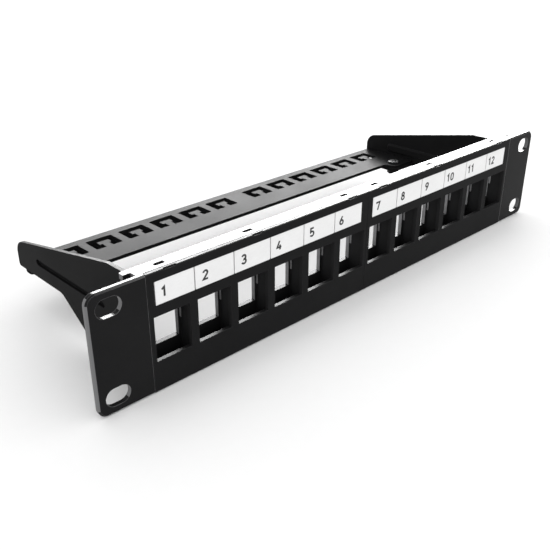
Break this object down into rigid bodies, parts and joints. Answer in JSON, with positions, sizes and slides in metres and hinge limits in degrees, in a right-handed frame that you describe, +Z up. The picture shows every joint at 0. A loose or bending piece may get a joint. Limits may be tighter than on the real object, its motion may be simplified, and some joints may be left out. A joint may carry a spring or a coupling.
{
  "type": "patch panel",
  "caption": "Black 10-inch, one-unit unloaded keystone patch panel with white number labels, slotted rack ears and a rear cable-tie tray on side brackets.",
  "frame": {"origin": "centre of the rack-hole pattern, on the rear face of the rack ears", "axes": "front faces -Y, +X to the right seen from the front, +Z up, tray towards +Y"},
  "size_m": [0.254, 0.0878, 0.0436],
  "materials": {
    "black_steel": "semi-gloss powder coat",
    "black_plastic": "satin moulded",
    "label_card": "matt white",
    "black_zinc": "satin black plated"
  },
  "bodies": {
    "frame": {"front_frame": "black_steel", "left_bracket": "black_steel", "right_bracket": "black_steel", "cable_tray": "black_steel", "tray_screws": "black_zinc", "tray_nuts": "black_zinc"},
    "left_module": {"left_port_module": "black_plastic", "left_module_latches": "black_plastic", "label_01": "label_card", "label_02": "label_card", "label_03": "label_card", "label_04": "label_card", "label_05": "label_card", "label_06": "label_card"},
    "right_module": {"right_port_module": "black_plastic", "right_module_latches": "black_plastic", "label_07": "label_card", "label_08": "label_card", "label_09": "label_card", "label_10": "label_card", "label_11": "label_card", "label_12": "label_card"}
  },
  "joints": [
    {"name": "left_module_pull", "type": "slide", "parent": "frame", "child": "left_module", "axis": [0, -1, 0], "range_m": [0, 0.025], "deforming": ["left_module_latches"]},
    {"name": "right_module_pull", "type": "slide", "parent": "frame", "child": "right_module", "axis": [0, -1, 0], "range_m": [0, 0.025], "deforming": ["right_module_latches"]}
  ]
}
